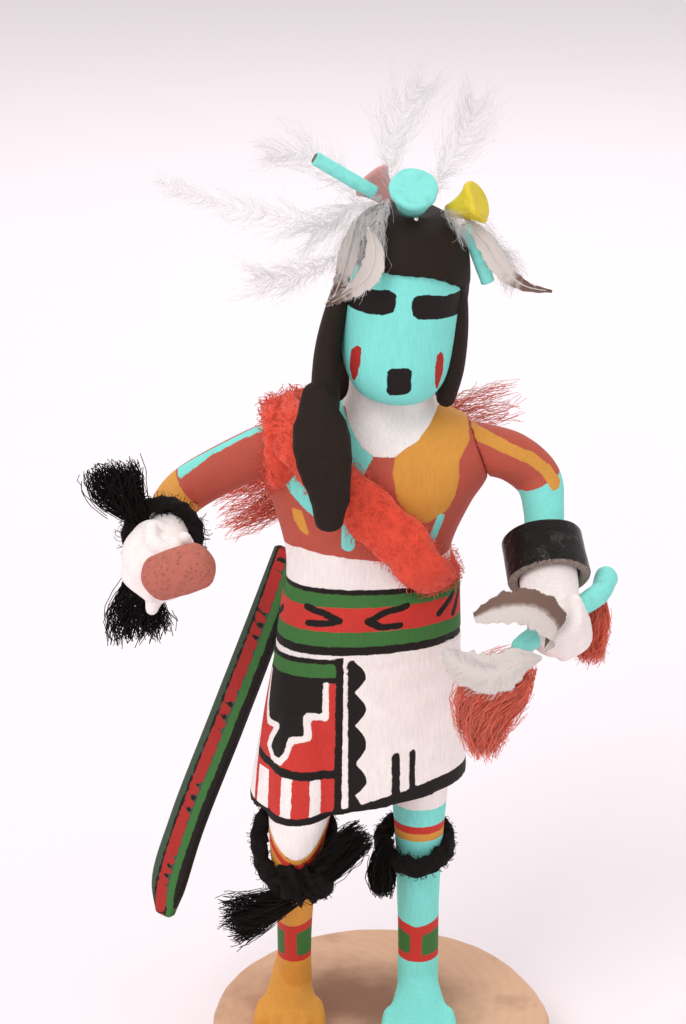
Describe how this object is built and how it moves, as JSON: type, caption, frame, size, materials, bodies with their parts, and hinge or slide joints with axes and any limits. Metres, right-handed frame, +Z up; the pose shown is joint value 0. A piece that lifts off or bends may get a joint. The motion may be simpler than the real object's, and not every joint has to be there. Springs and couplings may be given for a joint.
{
  "type": "kachina doll",
  "caption": "Carved and painted wooden dancer doll with mask, kilt, yarn ties, leather cuff and feathers, standing on a slice of a log.",
  "frame": {"origin": "centre of the base's flat underside", "axes": "+Z up through the figure, -Y the way the figure faces, +X towards the figure's left hand"},
  "size_m": [0.1138, 0.0868, 0.239],
  "materials": {
    "bare_wood": "sanded, unfinished",
    "painted_wood": "matte hand-brushed paint",
    "turquoise_paint": "matte paint",
    "yellow_paint": "matte paint",
    "pink_paint": "matte paint",
    "clay_paint": "matte, pitted paint",
    "black_leather": "satin, raw edges",
    "red_yarn": "brushed wool",
    "black_yarn": "loose wool",
    "barred_feather": "soft vane",
    "white_down": "downy",
    "pin_steel": "bright"
  },
  "bodies": {
    "root": {"base": "bare_wood", "figure": "painted_wood", "arm_left": "painted_wood", "arm_right": "painted_wood", "sash_end": "painted_wood", "rattle": "clay_paint", "bow": "turquoise_paint", "cuff": "black_leather", "bandolier": "red_yarn", "wrist_tie": "black_yarn", "knee_tie_standing": "black_yarn", "knee_tie_stepping": "black_yarn", "tassel_front": "red_yarn", "tassel_back": "red_yarn", "crown_disc": "turquoise_paint", "flower_yellow": "yellow_paint", "flower_pink": "pink_paint", "stick_left": "turquoise_paint", "stick_right": "turquoise_paint", "pin": "pin_steel", "feather_left_inner": "barred_feather", "feather_left_outer": "barred_feather", "feather_right": "barred_feather", "hand_feather_upper": "barred_feather", "hand_feather_lower": "barred_feather", "plume_up_left": "white_down", "plume_up_right": "white_down", "plume_left_high": "white_down", "plume_left_long": "white_down", "plume_left_low": "white_down", "plume_right": "white_down"}
  },
  "joints": []
}
